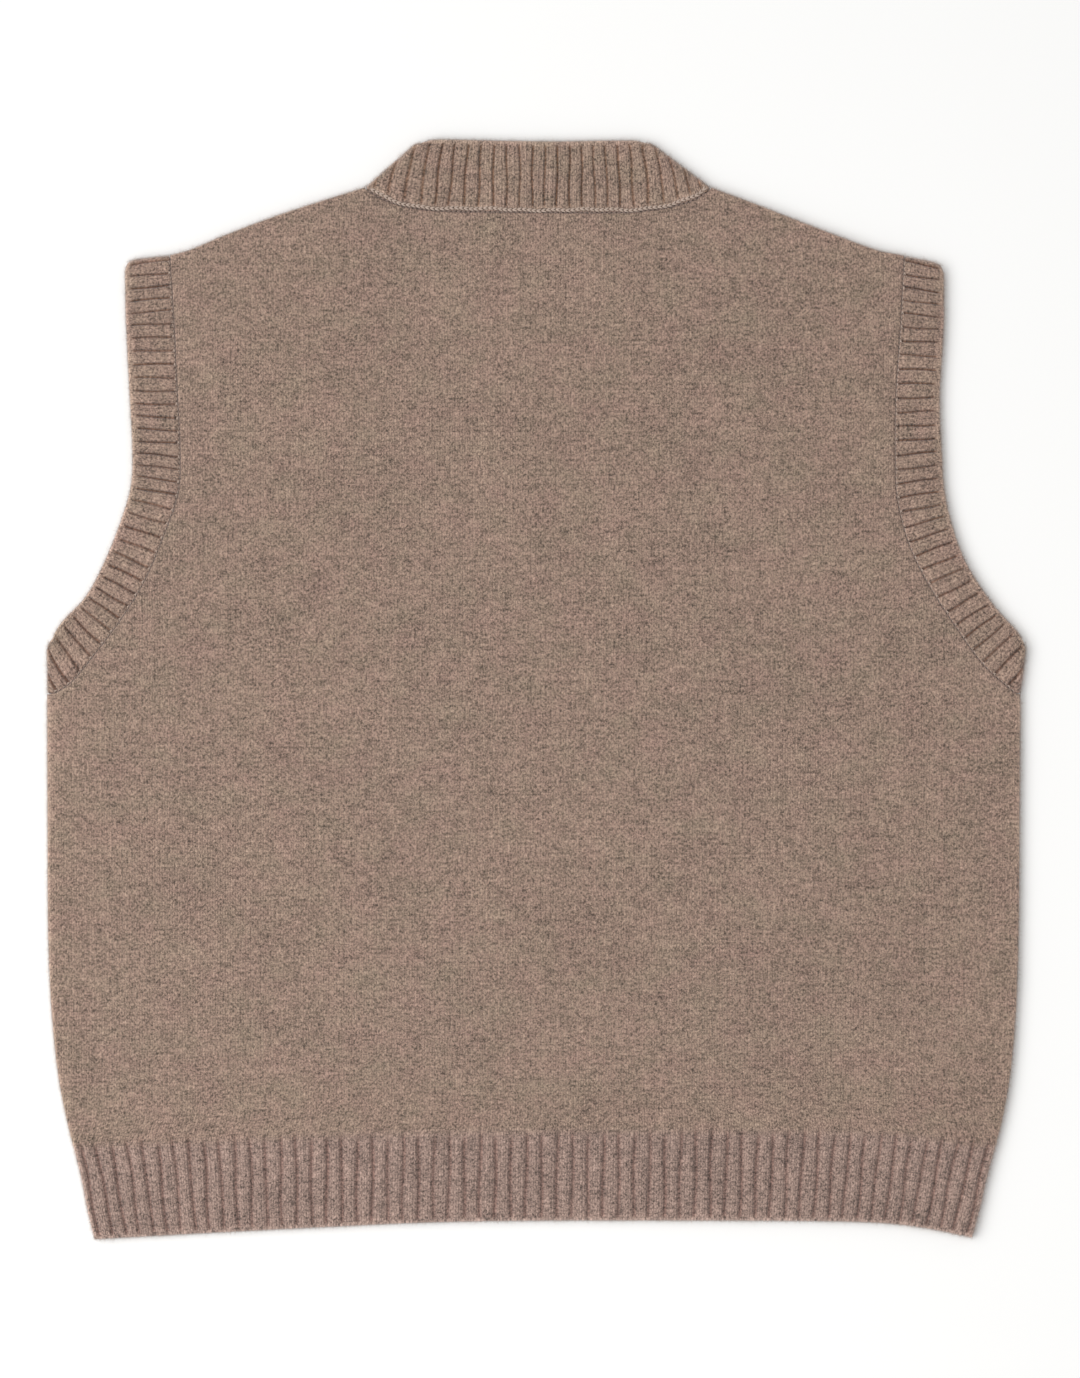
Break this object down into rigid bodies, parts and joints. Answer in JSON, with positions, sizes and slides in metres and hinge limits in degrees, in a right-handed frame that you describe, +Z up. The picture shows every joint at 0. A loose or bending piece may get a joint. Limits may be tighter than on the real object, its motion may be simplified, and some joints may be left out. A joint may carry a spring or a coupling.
{
  "type": "knitted sweater vest",
  "caption": "Boxy sleeveless knitted vest laid flat face down, with ribbed hem, armhole bands and neckband, and a V neck at the front.",
  "frame": {"origin": "on the surface that the vest lies on, under the middle of its outline", "axes": "+X to the right of the back as it lies uppermost, +Y from the hem to the neck, +Z up from the surface"},
  "size_m": [0.5446, 0.6112, 0.006],
  "materials": {
    "wool_jersey": "plain knitted wool, matt with a soft nap",
    "wool_rib": "ribbed knitted wool, matt with a soft nap"
  },
  "bodies": {
    "root": {"front": "wool_jersey", "back": "wool_jersey", "armhole_band_left": "wool_rib", "armhole_band_right": "wool_rib", "neck_band": "wool_rib"}
  },
  "joints": []
}
